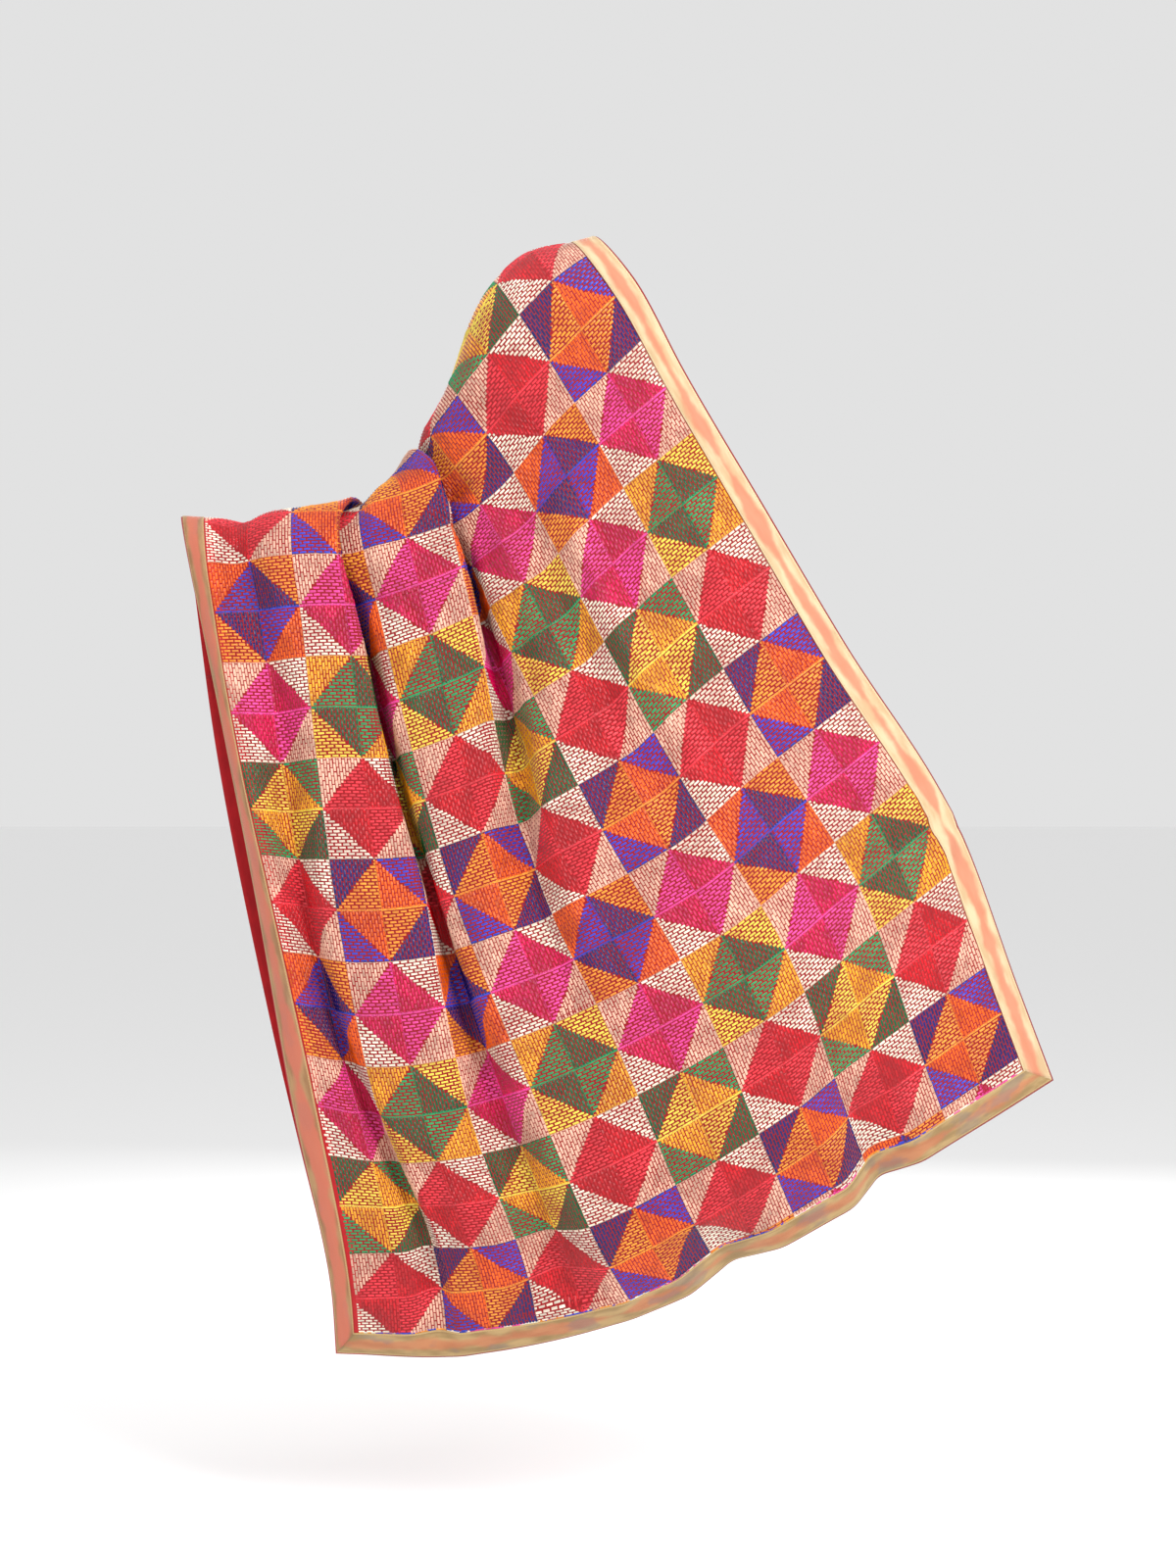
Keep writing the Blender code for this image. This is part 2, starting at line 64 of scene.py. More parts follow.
# ---- the drape -----------------------------------------------------------------------------
# Each rail follows one thread line, so many blocks across from the wrist side. Its rows are
# (blocks along the pattern, x, y, z): up the back, over the arm and down the front.
RAILS = (
    (WRIST_EDGE, (
        (-0.17, -0.243, -0.042, -1.277), (0.6, -0.246, -0.072, -1.201), (2.5, -0.291, -0.065, -0.992),
        (4.5, -0.335, -0.040, -0.757), (6.0, -0.367, -0.030, -0.596), (7.5, -0.403, -0.018, -0.426),
        (8.0, -0.414, -0.022, -0.370), (8.3, -0.421, -0.012, -0.338), (8.6, -0.427, 0.012, -0.314),
        (8.9, -0.426, 0.044, -0.322), (9.2, -0.423, 0.057, -0.352), (11.2, -0.393, 0.060, -0.576),
        (14.0, -0.332, 0.062, -0.886), (17.34, -0.244, 0.064, -1.253))),
    (0.0, (
        (-0.17, -0.219, -0.048, -1.276), (0.6, -0.222, -0.085, -1.197), (2.5, -0.261, -0.085, -0.988),
        (4.5, -0.314, -0.065, -0.758), (6.0, -0.351, -0.050, -0.599), (7.5, -0.383, -0.030, -0.427),
        (8.0, -0.391, -0.032, -0.370), (8.3, -0.395, -0.020, -0.338), (8.6, -0.398, 0.004, -0.316),
        (8.9, -0.398, 0.038, -0.322), (9.2, -0.395, 0.058, -0.350), (11.2, -0.368, 0.066, -0.574),
        (14.0, -0.310, 0.070, -0.885), (17.33, -0.221, 0.072, -1.251))),
    (1.15, (
        (-0.20, -0.096, -0.060, -1.275), (0.6, -0.111, -0.100, -1.188), (2.5, -0.176, -0.105, -0.999),
        (4.5, -0.224, -0.082, -0.767), (6.0, -0.248, -0.062, -0.594), (7.5, -0.269, -0.045, -0.419),
        (8.0, -0.278, -0.038, -0.360), (8.3, -0.280, -0.030, -0.327), (8.6, -0.281, -0.006, -0.304),
        (8.9, -0.281, 0.028, -0.309), (9.2, -0.279, 0.050, -0.334), (11.2, -0.268, 0.075, -0.559),
        (14.0, -0.222, 0.085, -0.875), (17.30, -0.142, 0.085, -1.240))),
    (3.0, (
        (-0.27, 0.105, -0.088, -1.226), (0.6, 0.065, -0.140, -1.153), (2.5, -0.019, -0.135, -0.963),
        (4.5, -0.106, -0.105, -0.750), (6.0, -0.155, -0.075, -0.586), (7.5, -0.199, -0.050, -0.411),
        (8.0, -0.213, -0.040, -0.354), (8.35, -0.219, -0.028, -0.317), (8.7, -0.222, 0.004, -0.290),
        (9.0, -0.223, 0.037, -0.297), (9.3, -0.221, 0.058, -0.323), (11.2, -0.196, 0.085, -0.535),
        (14.0, -0.150, 0.095, -0.848), (17.25, -0.075, 0.095, -1.207))),
    (5.5, (
        (-0.34, 0.333, -0.115, -1.106), (0.6, 0.295, -0.165, -1.018), (2.5, 0.219, -0.170, -0.838),
        (4.5, 0.107, -0.140, -0.648), (6.0, 0.027, -0.105, -0.496), (7.5, -0.053, -0.070, -0.349),
        (8.3, -0.095, -0.050, -0.279), (8.7, -0.124, -0.034, -0.243), (9.15, -0.144, 0.002, -0.214),
        (9.6, -0.142, 0.050, -0.223), (10.0, -0.134, 0.080, -0.254), (11.2, -0.110, 0.108, -0.382),
        (14.0, -0.060, 0.115, -0.690), (17.17, 0.010, 0.110, -1.042))),
    (6.75, (
        (-0.38, 0.436, -0.100, -1.042), (0.6, 0.396, -0.140, -0.944), (2.5, 0.326, -0.150, -0.754),
        (4.5, 0.206, -0.135, -0.562), (6.0, 0.120, -0.115, -0.409), (7.5, 0.040, -0.090, -0.257),
        (8.6, -0.022, -0.072, -0.153), (9.2, -0.062, -0.046, -0.092), (9.7, -0.079, 0.004, -0.064),
        (10.1, -0.076, 0.045, -0.078), (11.2, -0.040, 0.105, -0.182), (14.0, 0.032, 0.125, -0.490),
        (17.13, 0.100, 0.125, -0.836))),
    (7.5, (
        (-0.40, 0.503, -0.090, -1.002), (0.6, 0.463, -0.114, -0.900), (2.5, 0.389, -0.124, -0.705),
        (4.5, 0.268, -0.130, -0.514), (6.0, 0.180, -0.124, -0.361), (7.5, 0.096, -0.102, -0.209),
        (8.6, 0.032, -0.076, -0.098), (9.15, -0.004, -0.044, -0.035), (9.6, -0.022, -0.002, -0.008),
        (10.2, -0.012, 0.058, -0.038), (11.2, 0.032, 0.106, -0.134), (14.0, 0.104, 0.127, -0.442),
        (17.10, 0.172, 0.130, -0.784))),
    (NECK_EDGE, (
        (-0.42, 0.574, -0.070, -0.960), (0.6, 0.534, -0.080, -0.857), (2.5, 0.456, -0.085, -0.653),
        (4.5, 0.334, -0.105, -0.464), (6.0, 0.243, -0.115, -0.312), (7.5, 0.155, -0.095, -0.159),
        (8.5, 0.098, -0.068, -0.049), (9.3, 0.053, -0.010, 0.008), (9.9, 0.056, 0.058, -0.016),
        (11.2, 0.106, 0.105, -0.147), (14.0, 0.182, 0.125, -0.454), (17.08, 0.250, 0.130, -0.794))),
)

# Where each thread line crosses the top of the arm or shoulder: (blocks across, blocks along).
CREST = ((WRIST_EDGE, 8.6), (1.15, 8.6), (3.0, 8.7), (5.5, 9.2), (6.75, 9.7), (NECK_EDGE, 9.3))

# The fold past each rail, by that rail's place. Its rows are (blocks along, where its hidden wall
# starts, that wall's length, lean in degrees), the middle two in blocks across. A lean of 90 lays
# the pleat flat, as it is on the arm. Behind the arm a fold is a valley past its hidden wall, and
# in front of the arm a ridge before it.
FOLDS = {
    0.0: (
        (-0.5, 0.60, 0.28, 0), (1.4, 0.62, 0.28, 0), (2.4, 0.40, 0.34, 0), (3.5, 0.16, 0.36, 5),
        (4.5, 0.10, 0.36, 5), (6.5, 0.12, 0.42, 0), (7.5, 0.08, 0.36, 0), (8.5, 0.04, 0.32, 0),
        (9.3, 0.50, 0.34, 0), (11.0, 0.58, 0.40, 0), (17.6, 0.60, 0.40, 0)),
    1.15: (
        (-0.5, 1.70, 0.60, 0), (1.5, 1.80, 0.56, 0), (3.5, 1.95, 0.44, 5), (4.5, 1.97, 0.44, 12),
        (5.5, 1.83, 0.50, 16), (6.5, 1.70, 0.57, 20), (7.5, 1.60, 0.64, 34), (8.0, 1.55, 0.63, 74),
        (8.4, 1.54, 0.63, 90), (9.0, 1.76, 0.61, 90), (9.5, 1.96, 0.61, 80), (10.2, 1.98, 0.62, 45),
        (11.0, 1.96, 0.65, 18), (12.0, 1.94, 0.68, 6), (14.0, 1.95, 0.70, 4), (17.6, 1.98, 0.72, 0)),
    3.0: (
        (-0.5, 3.60, 0.60, 0), (3.5, 3.30, 0.45, 0), (4.5, 3.44, 0.48, 0), (5.5, 3.75, 0.50, 8),
        (6.5, 3.97, 0.52, 15), (7.5, 4.05, 0.54, 30), (8.0, 4.03, 0.58, 60), (8.6, 3.98, 0.67, 90),
        (9.0, 4.00, 0.63, 90), (9.5, 4.02, 0.51, 88), (10.2, 4.12, 0.49, 60), (11.0, 4.16, 0.52, 25),
        (12.0, 4.18, 0.52, 6), (17.6, 4.20, 0.55, 0)),
    5.5: ((-0.5, 5.62, 0.50, 0), (9.0, 5.62, 0.50, 0), (10.4, 6.10, 0.50, 0), (17.6, 6.10, 0.50, 0)),
}
RIM_ROUND = 0.24             # blocks of cloth that turn each rim of an upright fold
FLATTER_RIM = 0.60           # share of that which a flat pleat does without
STEEPEST = 88.0              # degrees that a fold's walls may bend to
LEANING = 75.0               # bend past which a fold leans as far as its row says
LIES_FROM = 20.0             # lean past which a fold is pressed down, its walls taking the rest
LEVEL_OVER = 0.36            # blocks of cloth that carry a leaning fold's side back to level
CREST_BLEND = 1.0            # blocks past the crest over which a valley becomes a ridge
ACROSS_STEPS = 960           # steps across the cloth in which the folds are worked out
RAIL_STEPS = 24              # steps between two rails
HALVINGS = 22                # of the range, in each search for a fold's bend or wall
WALL_RANGE = (0.3, 1.4)      # shares of its row's length that a hidden wall may come to

# ---- what the maker sews on ----------------------------------------------------------------
SEAM_GAP = 0.0003            # between the cloth's face and a tape
CLOTH_WALL = 0.0015
TAPE_WALL = 0.0008
TAPE_PUFF = 0.0005           # a tape's crown between its two rows of sewing
# Colours of (corner triangles, diamond) of the blocks: a row for each block along, up from the
# back hem and repeated, and in it the even and the odd blocks across.
CHART = (
    (("ivory", "red"), ("purple", "orange")),
    (("green", "yellow"), ("ivory", "red")),
    (("ivory", "pink"), ("yellow", "green")),
    (("orange", "purple"), ("ivory", "pink")),
)
# Floss colours: (name, of the stitches that run across, of those that run along), in sRGB.
# Each is one floss in two painted tones: the first lighter, a painted sheen highlight, and the
# second darker, painted shade.
FLOSS = (
    ("red", (236, 50, 64), (198, 8, 26)),
    ("pink", (240, 66, 152), (200, 4, 78)),
    ("orange", (250, 148, 46), (234, 92, 8)),
    ("yellow", (254, 208, 76), (234, 158, 30)),
    ("green", (16, 150, 90), (4, 86, 46)),
    ("purple", (38, 60, 186), (16, 20, 98)),
    ("ivory", (248, 228, 208), (228, 178, 154)),
)
GROUND = (186, 20, 30)       # the cloth itself, in sRGB
SHADED_GROUND = (150, 9, 20)           # between the stitches, in their shade
STITCH_PITCH = (0.00360, 0.00365)      # between rows of stitches that run along, and across
STITCH_REPEAT = 0.0093       # along a row, from one stitch to the next
# The rest are for stitches that run across, then for those that run along, which lie closer.
STITCH_SHARE = (0.80, 0.90)            # of that repeat that is floss
STITCH_WIDTH = (0.68, 0.80)            # of the pitch
STITCH_HEIGHT = 0.00085
STITCH_SINK = 0.00010        # depth at which a stitch's rim goes into the cloth
HIP_SHARE = 0.35             # of a stitch's length, from its end to the end of its ridge
LONGEST_HIP = 0.0012
SATIN_PITCH = 0.0014         # of the short stitches that cover the lines between patches
SATIN_LENGTH = 0.0026
SATIN_HEIGHT = 0.00060
SATIN_OVERLAP = 1.05         # width of such a stitch, in pitches
CORD_WIDTH = 0.0006          # of the single lines up each diamond and beside each block
CORD_REPEAT = 0.0090
CORD_SHARE = 0.92            # of that repeat that is floss
CORD_SHIFT = 0.3             # of a repeat, before the first stitch
SEED = 11

# ---- the fine mesh -------------------------------------------------------------------------
SURFACE_COLUMNS = 961
SURFACE_ROWS = 720
WALL_COLUMNS = 180
WALL_ROW = 0.0052            # metres between the cloth wall's rows
BEND_WEIGHT = 0.9            # how much a bend draws the wall's columns together
BEND_GAIN = 10               # extra columns at a sharp bend, before that weight
SHARP_BEND = 0.25            # change of the normal from column to column that counts as sharp
TAPE_COLUMNS = 8
TAPE_ROW = 0.0055
STRETCHES = (("shawl_back", 7.45), ("shawl_over_arm", 10.4), ("shawl_front", None))

FIRST_ROW = -(TAPE_INSET + TAPE_WIDTH) / BLOCK_ALONG
LAST_ROW = (CLOTH_LENGTH - TAPE_INSET - TAPE_WIDTH) / BLOCK_ALONG
EMBROIDERY_END = (CLOTH_LENGTH - 2 * (TAPE_INSET + TAPE_WIDTH)) / BLOCK_ALONG

# Soft creases between the folds, each from one place to another on the cloth: (across, along,
# across, along, width in mm, height in mm, below 0 for a trough).
CREASES = (
    (4.90, 7.00, 4.45, 5.80, 11, 3.5),      # beside the fold under the elbow
    (5.35, 7.10, 4.95, 6.00, 9, -2.5),
    (3.75, 8.40, 5.30, 7.20, 8, 2.0),       # from the elbow down
    (3.90, 8.10, 4.80, 7.30, 6, -2.2),
    (3.20, 7.60, 3.90, 6.20, 12, -2.5),
    (0.05, 8.00, 0.20, 7.00, 8, 1.6),       # beside the wrist tape
    (0.50, 6.60, 0.35, 4.80, 10, -2.0),
    (2.30, 6.80, 2.50, 5.20, 12, 2.2),
    (1.80, 2.80, 1.15, -0.20, 14, 3.0),     # above the back hem
    (3.20, 1.60, 2.90, -0.20, 18, 3.5),
    (3.90, 1.90, 3.80, 0.10, 16, -3.0),
    (6.50, 2.30, 5.60, -0.10, 20, 3.0),
    (6.95, 2.10, 6.20, -0.10, 16, -2.2),
    (7.95, 2.78, 8.30, 2.62, 5, 2.5),       # from the hand's pinch
    (7.95, 2.60, 8.30, 2.46, 5, -2.5),
    (8.20, 2.75, 7.30, 3.70, 8, 2.2),
    (8.20, 2.62, 7.00, 2.85, 9, -2.8),
    (8.20, 2.50, 7.20, 1.70, 9, 2.4),
    (8.20, 2.42, 7.85, 1.20, 8, -2.2),
    (7.40, 5.70, 7.10, 4.20, 18, 2.5),      # across the flat of the back
    (8.00, 7.40, 7.00, 6.70, 14, -2.0),
    (5.90, 5.40, 5.30, 3.90, 22, 2.8),
    (6.00, 9.40, 6.60, 8.20, 12, 2.0),      # over the shoulder
    (7.30, 9.50, 7.20, 8.30, 12, -2.0),
    (0.90, 11.5, 0.70, 16.5, 14, 3.0),      # down the front
    (2.90, 12.0, 3.20, 17.0, 16, -3.0),
    (4.60, 10.8, 5.10, 12.2, 10, 2.0),
    (5.20, 11.8, 5.50, 16.8, 18, 4.0),
    (6.60, 12.6, 6.40, 17.0, 16, -3.5),
    (7.70, 11.2, 7.50, 14.0, 12, 2.5),
)
CREASE_ENDS = 3              # a crease rises over 1 / this of its length, centred on its end
STITCH_STRAY = 0.00012       # how far a stitch's ends may wander
SHORTEST_STITCH = 0.0012
WIDTH_SPREAD = 0.06          # of the stitches' widths and heights, as shares
HEIGHT_SPREAD = 0.12
HEM_CLEAR = 0.004            # in blocks, between the floss and the end tapes
FLOSS_ROUGHNESS = 0.26
SKEIN_SPOTS = (22, 22)       # patches of one tone, to the metre
SKEIN_TONES = (0.94, 1.10)
SKEIN_RAMP = (0.35, 0.65)    # where the noise goes from one tone to the other
STITCH_TONES = (0.75, 1.10)  # from the dullest stitch to the brightest
FILAMENT = 0.00040           # between a floss's filaments
FILAMENT_DEPTH = 0.00008
WEAVE = 0.00070              # between the threads of the cotton
WEAVE_DEPTH = 0.00015
WAVE_PERIOD = 0.314159       # of Blender's wave texture at a scale of 1
COTTON_SPOTS = (30, 30)      # patches of one tone of red, to the metre
COTTON_TONES = (0.88, 1.12)
SHADE_REACH = 0.0090         # over which the painted shade on the cotton deepens where the floss begins
TISSUE_COARSE = 1.5          # the tape's thread spacing along it, in cotton spacings
TISSUE_DEPTH = 0.00018
SEWING_INSET = 0.0014        # of a row of sewing, from the tape's edge
SEWING_REPEAT = 0.0030
SEWING_SHARE = 0.7           # of that repeat that is thread
SEWING_WIDTH = 0.0006
SEWING_HEIGHT = 0.0005
SEWING_THREAD = (206, 178, 128)
TAPE_STAIN = (112, 104, 108)
# Noise over a tape: spots to the metre along and across it, and detail.
STRIPE_NOISE = (16, 24, 4.0)
GOLD_NOISE = (24, 90, 4.0)
STAIN_NOISE = (18, 36, 3.0)
STRIPE_DRIFT = 0.022         # the range over which that noise moves the stripe's edge
STRIPE_SOFTNESS = 0.003
GOLD_RAMP = (0.3, 0.7)
STAIN_RAMP = (0.54, 0.66)
SELVEDGE = (0.0022, 0.0012)  # from the tape's edge, where its pale selvedge begins and is full
SELVEDGE_TONE = 1.05
# How each tape is coloured: its gold, its pale gold, the salmon stripe along its middle, that
# stripe's share and half width, and the share of grey stains. The wrist and end tapes are darker
# than the neck tape.
TAPE_LOOKS = {
    "tape_wrist_edge": ((150, 106, 64), (178, 136, 90), (204, 106, 80), 0.90, 0.0085, 0.10),
    "tape_neck_edge": ((206, 172, 128), (226, 200, 158), (212, 120, 88), 0.80, 0.0055, 0.05),
    "tape_back_end": ((150, 120, 72), (186, 154, 102), (196, 104, 68), 0.60, 0.0050, 0.40),
    "tape_front_end": ((150, 120, 72), (186, 154, 102), (196, 104, 68), 0.60, 0.0060, 0.30),
}
# Bare cloth between the wrist tape and the floss: (blocks along, metres).
BARE_STRIP = ((-1.0, 0.0050), (0.8, 0.0045), (1.6, 0.0025), (2.6, 0.0008), (18.0, 0.0008))

# ---- the studio's sizes --------------------------------------------------------------------
CAMERA_PLACE = (0.0454, -3.78, -0.624)
LENS = 75.0
FLOOR = -1.47
FLOOR_REACH = 60.0
FLOOR_COLOR = (250, 250, 250)
FLOOR_ROUGHNESS = 0.9
WORLD_STRENGTH = 0.76
SENSOR_WIDTH = 36.0
LIGHT_TARGET = (0.05, 0.0, -0.6)
LIGHTS = (                   # name, place, size, power
    ("key", (2.1, -3.1, 1.3), 1.4, 108),
    ("fill", (-2.8, -2.6, 0.2), 2.2, 20),
    ("top", (-0.2, -0.6, 2.2), 1.6, 18),
    ("back", (0.5, 2.8, 0.6), 2.4, 36),
)


def smooth(x):
    """0 to 1 with level ends."""
    x = np.clip(x, 0.0, 1.0)
    return x * x * (3.0 - 2.0 * x)


def spline(stations, values, at):
    """Smooth curve through the rows of values at the stations, read at the places in at."""
    stations = np.asarray(stations, float)
    values = np.asarray(values, float)
    at = np.asarray(at, float)
    gaps = np.diff(stations)[:, None]
    rises = np.diff(values, axis=0) / gaps
    inner = (rises[:-1] * gaps[1:] + rises[1:] * gaps[:-1]) / (gaps[:-1] + gaps[1:])
    slopes = np.vstack([rises[:1], inner, rises[-1:]])
    k = np.clip(np.searchsorted(stations, at) - 1, 0, len(stations) - 2)
    f = ((at - stations[k]) / gaps[k, 0])[:, None]
    return (values[k] * (2 * f**3 - 3 * f**2 + 1) + slopes[k] * gaps[k] * (f**3 - 2 * f**2 + f)
            + values[k + 1] * (3 * f**2 - 2 * f**3) + slopes[k + 1] * gaps[k] * (f**3 - f**2))


def columns(rows, v):
    """All columns of a table but its first, read at the places v along the cloth."""
    table = np.array(rows)
    return spline(table[:, 0], table[:, 1:], v)


def bump(u, start, end, rim):
    """1 between start and end, its two ends rounded over the width rim."""
    return smooth((u - start) / rim + 0.5) - smooth((u - end) / rim + 0.5)


def fold_slopes(u, start, wall, lean, front, bend):
    """Slope of the cloth at the places u across one fold, in radians."""
    lean = lean * min(1.0, bend / LEANING) ** 2
    rim = RIM_ROUND * (1 - FLATTER_RIM * lean / 90)
    hidden = bump(u, start, start + wall, rim)
    shown = (front * bump(u, start - wall, start, rim)
             + (1 - front) * bump(u, start + wall, start + 2 * wall, rim))
    return np.radians((bend - lean) * shown - (bend + lean) * hidden)


def search(low, high, too_little):
    """The value between low and high at which too_little turns false."""
    for _ in range(HALVINGS):
        middle = (low + high) / 2
        if too_little(middle):
            low = middle
        else:
            high = middle
    return middle


def settle(u, step, room, fold, front):
    """The fold's wall length and bend, in degrees, at which the cloth at the places u between two
    rails just fills the room between them."""
    start, wall, lean = fold

    def too_wide(wall, bend):
        slopes = fold_slopes(u, start, wall, lean, front, bend)
        return np.cos(slopes).sum() * step > room

    bend = search(0.0, STEEPEST, lambda bend: too_wide(wall, bend))
    bend = max(bend, STEEPEST * smooth((lean - LIES_FROM) / (90 - LIES_FROM)))
    shortest, longest = (share * wall for share in WALL_RANGE)
    return search(shortest, longest, lambda wall: too_wide(wall, bend)), bend


def level(u, start, wall, front, height):
    """Rise of each step of cloth beside a leaning fold that carries it back to level: past the
    fold behind the arm, before it in front."""
    before = smooth((u - start + wall) / LEVEL_OVER + 1)
    after = smooth((u - start - 2 * wall) / LEVEL_OVER)
    return -height * np.diff(front * before + (1 - front) * after, append=1.0)


def pattern_place(across, along):
    """Blocks along the pattern, for places given from the back hem tape's inner edge."""
    return along + HEM_START + HEM_SKEW * across


class Drape:
    """The hang of the cloth at places along it, in blocks from the back hem tape's inner edge."""

    def __init__(self, along):
        self.along = along
        self.rail_at = np.array([place for place, _ in RAILS])
        self.sheet = self.smooth_sheet()
        lengths = np.linalg.norm(np.diff(self.sheet, axis=1), axis=2)
        self.arcs = np.concatenate([np.zeros((len(along), 1)), np.cumsum(lengths, axis=1)], axis=1)
        self.edges = np.linspace(self.rail_at[0], self.rail_at[-1], ACROSS_STEPS + 1)
        self.middles = (self.edges[1:] + self.edges[:-1]) / 2
        self.step = (self.edges[1] - self.edges[0]) * BLOCK_ACROSS
        self.folds = {left: self.settled_folds(left, rows) for left, rows in FOLDS.items()}

    def smooth_sheet(self):
        """The sheet through the rails, with no folds in it yet."""
        rails = [columns(rows, pattern_place(at, self.along)) for at, rows in RAILS]
        knots = np.linspace(0, len(RAILS) - 1, RAIL_STEPS * (len(RAILS) - 1) + 1)
        sheet = []
        for points in np.stack(rails, axis=1):
            chords = np.sqrt(np.linalg.norm(np.diff(points, axis=0), axis=1))
            places = np.concatenate([[0.0], np.cumsum(chords)])
            sheet.append(spline(places, points, np.interp(knots, range(len(RAILS)), places)))
        return np.array(sheet)

    def between(self, left):
        """The steps of cloth between the rail at left and the next, and the room for them."""
        k = list(self.rail_at).index(left)
        inside = (self.middles >= left) & (self.middles < self.rail_at[k + 1])
        return inside, self.arcs[:, (k + 1) * RAIL_STEPS] - self.arcs[:, k * RAIL_STEPS]

    def settled_folds(self, left, rows):
        """For each place along: the fold's start, wall, lean, front share and bend."""
        inside, rooms = self.between(left)
        places = pattern_place(left, self.along)
        crest_u, crest_v = np.transpose(CREST)
        settled = []
        for room, (start, wall, lean), v in zip(rooms, columns(rows, places), self.along):
            lean = np.clip(lean, 0, 90)
            past_crest = pattern_place(start, v) - np.interp(start, crest_u, crest_v)
            front = smooth(past_crest / CREST_BLEND)
            bend = 0.0
            if room < inside.sum() * self.step:
                fold = (start, wall, lean)
                wall, bend = settle(self.middles[inside], self.step, room, fold, front)
            settled.append((start, wall, lean, front, bend))
        return np.array(settled)

    def points(self, across):
        """Points of the cloth's face. across has a row of places, in blocks from the wrist side,
        for each place along."""
        run = np.zeros((len(self.along), ACROSS_STEPS))
        rise = np.zeros_like(run)
        for left in self.rail_at[:-1]:
            inside, rooms = self.between(left)
            run[:, inside] = self.step
            for row, fold in enumerate(self.folds.get(left, ())):
                slopes = fold_slopes(self.middles[inside], *fold)
                run[row, inside] *= np.cos(slopes)
                rise[row, inside] += np.sin(slopes) * self.step
                height = np.sin(slopes).sum() * self.step
                start, wall, _, front, _ = fold
                rise[row] += level(self.middles, start, wall, front, height)
            run[:, inside] *= (rooms / run[:, inside].sum(axis=1))[:, None]
        normals = face_normals(self.sheet, self.along)
        points = np.zeros((*across.shape, 3))
        for row, places in enumerate(across):
            arc = np.interp(places, self.edges, np.concatenate([[0.0], np.cumsum(run[row])]))
            lift = np.interp(places, self.edges, np.concatenate([[0.0], np.cumsum(rise[row])]))
            for axis in range(3):
                base = np.interp(arc, self.arcs[row], self.sheet[row, :, axis])
                out = np.interp(arc, self.arcs[row], normals[row, :, axis])
                points[row, :, axis] = base + lift * out
        return points


def face_normals(points, along):
    """Outward direction at each point of a grid that runs along, then across."""
    normals = np.cross(np.gradient(points, axis=1), np.gradient(points, along, axis=0))
    return normals / np.linalg.norm(normals, axis=2, keepdims=True)


def smooth_creases(across, along):
    """Height of the soft creases, in metres, over a grid of places."""
    height = np.zeros(across.shape)
    for a0, b0, a1, b1, width, rise in CREASES:
        run = np.array([(a1 - a0) * BLOCK_ACROSS, (b1 - b0) * BLOCK_ALONG])
        length = np.linalg.norm(run)
        x = (across - a0) * BLOCK_ACROSS
        y = (along - b0) * BLOCK_ALONG
        t = (x * run[0] + y * run[1]) / length**2
        aside = (x * run[1] - y * run[0]) / length
        ends = smooth(t * CREASE_ENDS + 0.5) * smooth((1 - t) * CREASE_ENDS + 0.5)
        height += rise / 1000 * ends * np.exp(-(aside / (width / 1000)) ** 2)
    return height


class Surface:
    """The cloth's face as a fine grid, read at any place on the cut."""

    def __init__(self):
        self.along = np.linspace(FIRST_ROW, LAST_ROW, SURFACE_ROWS)
        self.across = np.linspace(WRIST_EDGE, NECK_EDGE, SURFACE_COLUMNS)
        across, along = np.meshgrid(self.across, self.along)
        points = Drape(self.along).points(across)
        points += smooth_creases(across, along)[..., None] * face_normals(points, self.along)
        self.grids = points, face_normals(points, self.along)

    def read(self, grid, across, along):
        """The grid's value at places between its points."""
        x = np.interp(across, self.across, np.arange(SURFACE_COLUMNS))
        y = np.interp(along, self.along, np.arange(SURFACE_ROWS))
        i = np.minimum(x.astype(int), SURFACE_COLUMNS - 2)
        j = np.minimum(y.astype(int), SURFACE_ROWS - 2)
        fx, fy = (x - i)[..., None], (y - j)[..., None]
        low = grid[j, i] * (1 - fx) + grid[j, i + 1] * fx
        high = grid[j + 1, i] * (1 - fx) + grid[j + 1, i + 1] * fx
        return low * (1 - fy) + high * fy

    def at(self, across, along, lift):
        """Points over the face at the places, raised by lift."""
        points, normals = (self.read(grid, across, along) for grid in self.grids)
        return points + normals * np.asarray(lift)[..., None]

    def columns(self, along, count):
        """Places across of so many columns in each row at along, closer together where the cloth
        bends."""
        normals = self.grids[1]
        bends = np.linalg.norm(np.diff(normals, axis=1), axis=2)
        step = (self.across[1] - self.across[0]) * BLOCK_ACROSS
        weight = step + BEND_WEIGHT * step * BEND_GAIN * smooth(bends / SHARP_BEND)
        filled = np.concatenate([np.zeros((SURFACE_ROWS, 1)), np.cumsum(weight, axis=1)], axis=1)
        filled /= filled[:, -1:]
        shares = np.linspace(0, 1, count)
        every = np.array([np.interp(shares, row, self.across) for row in filled])
        return np.stack([np.interp(along, self.along, every[:, n]) for n in range(count)], axis=1)


def color(srgb):
    """Linear RGBA of an sRGB colour given from 0 to 255."""
    share = np.array(srgb) / 255
    linear = np.where(share <= 0.04045, share / 12.92, ((share + 0.055) / 1.055) ** 2.4)
    return (*linear.tolist(), 1.0)


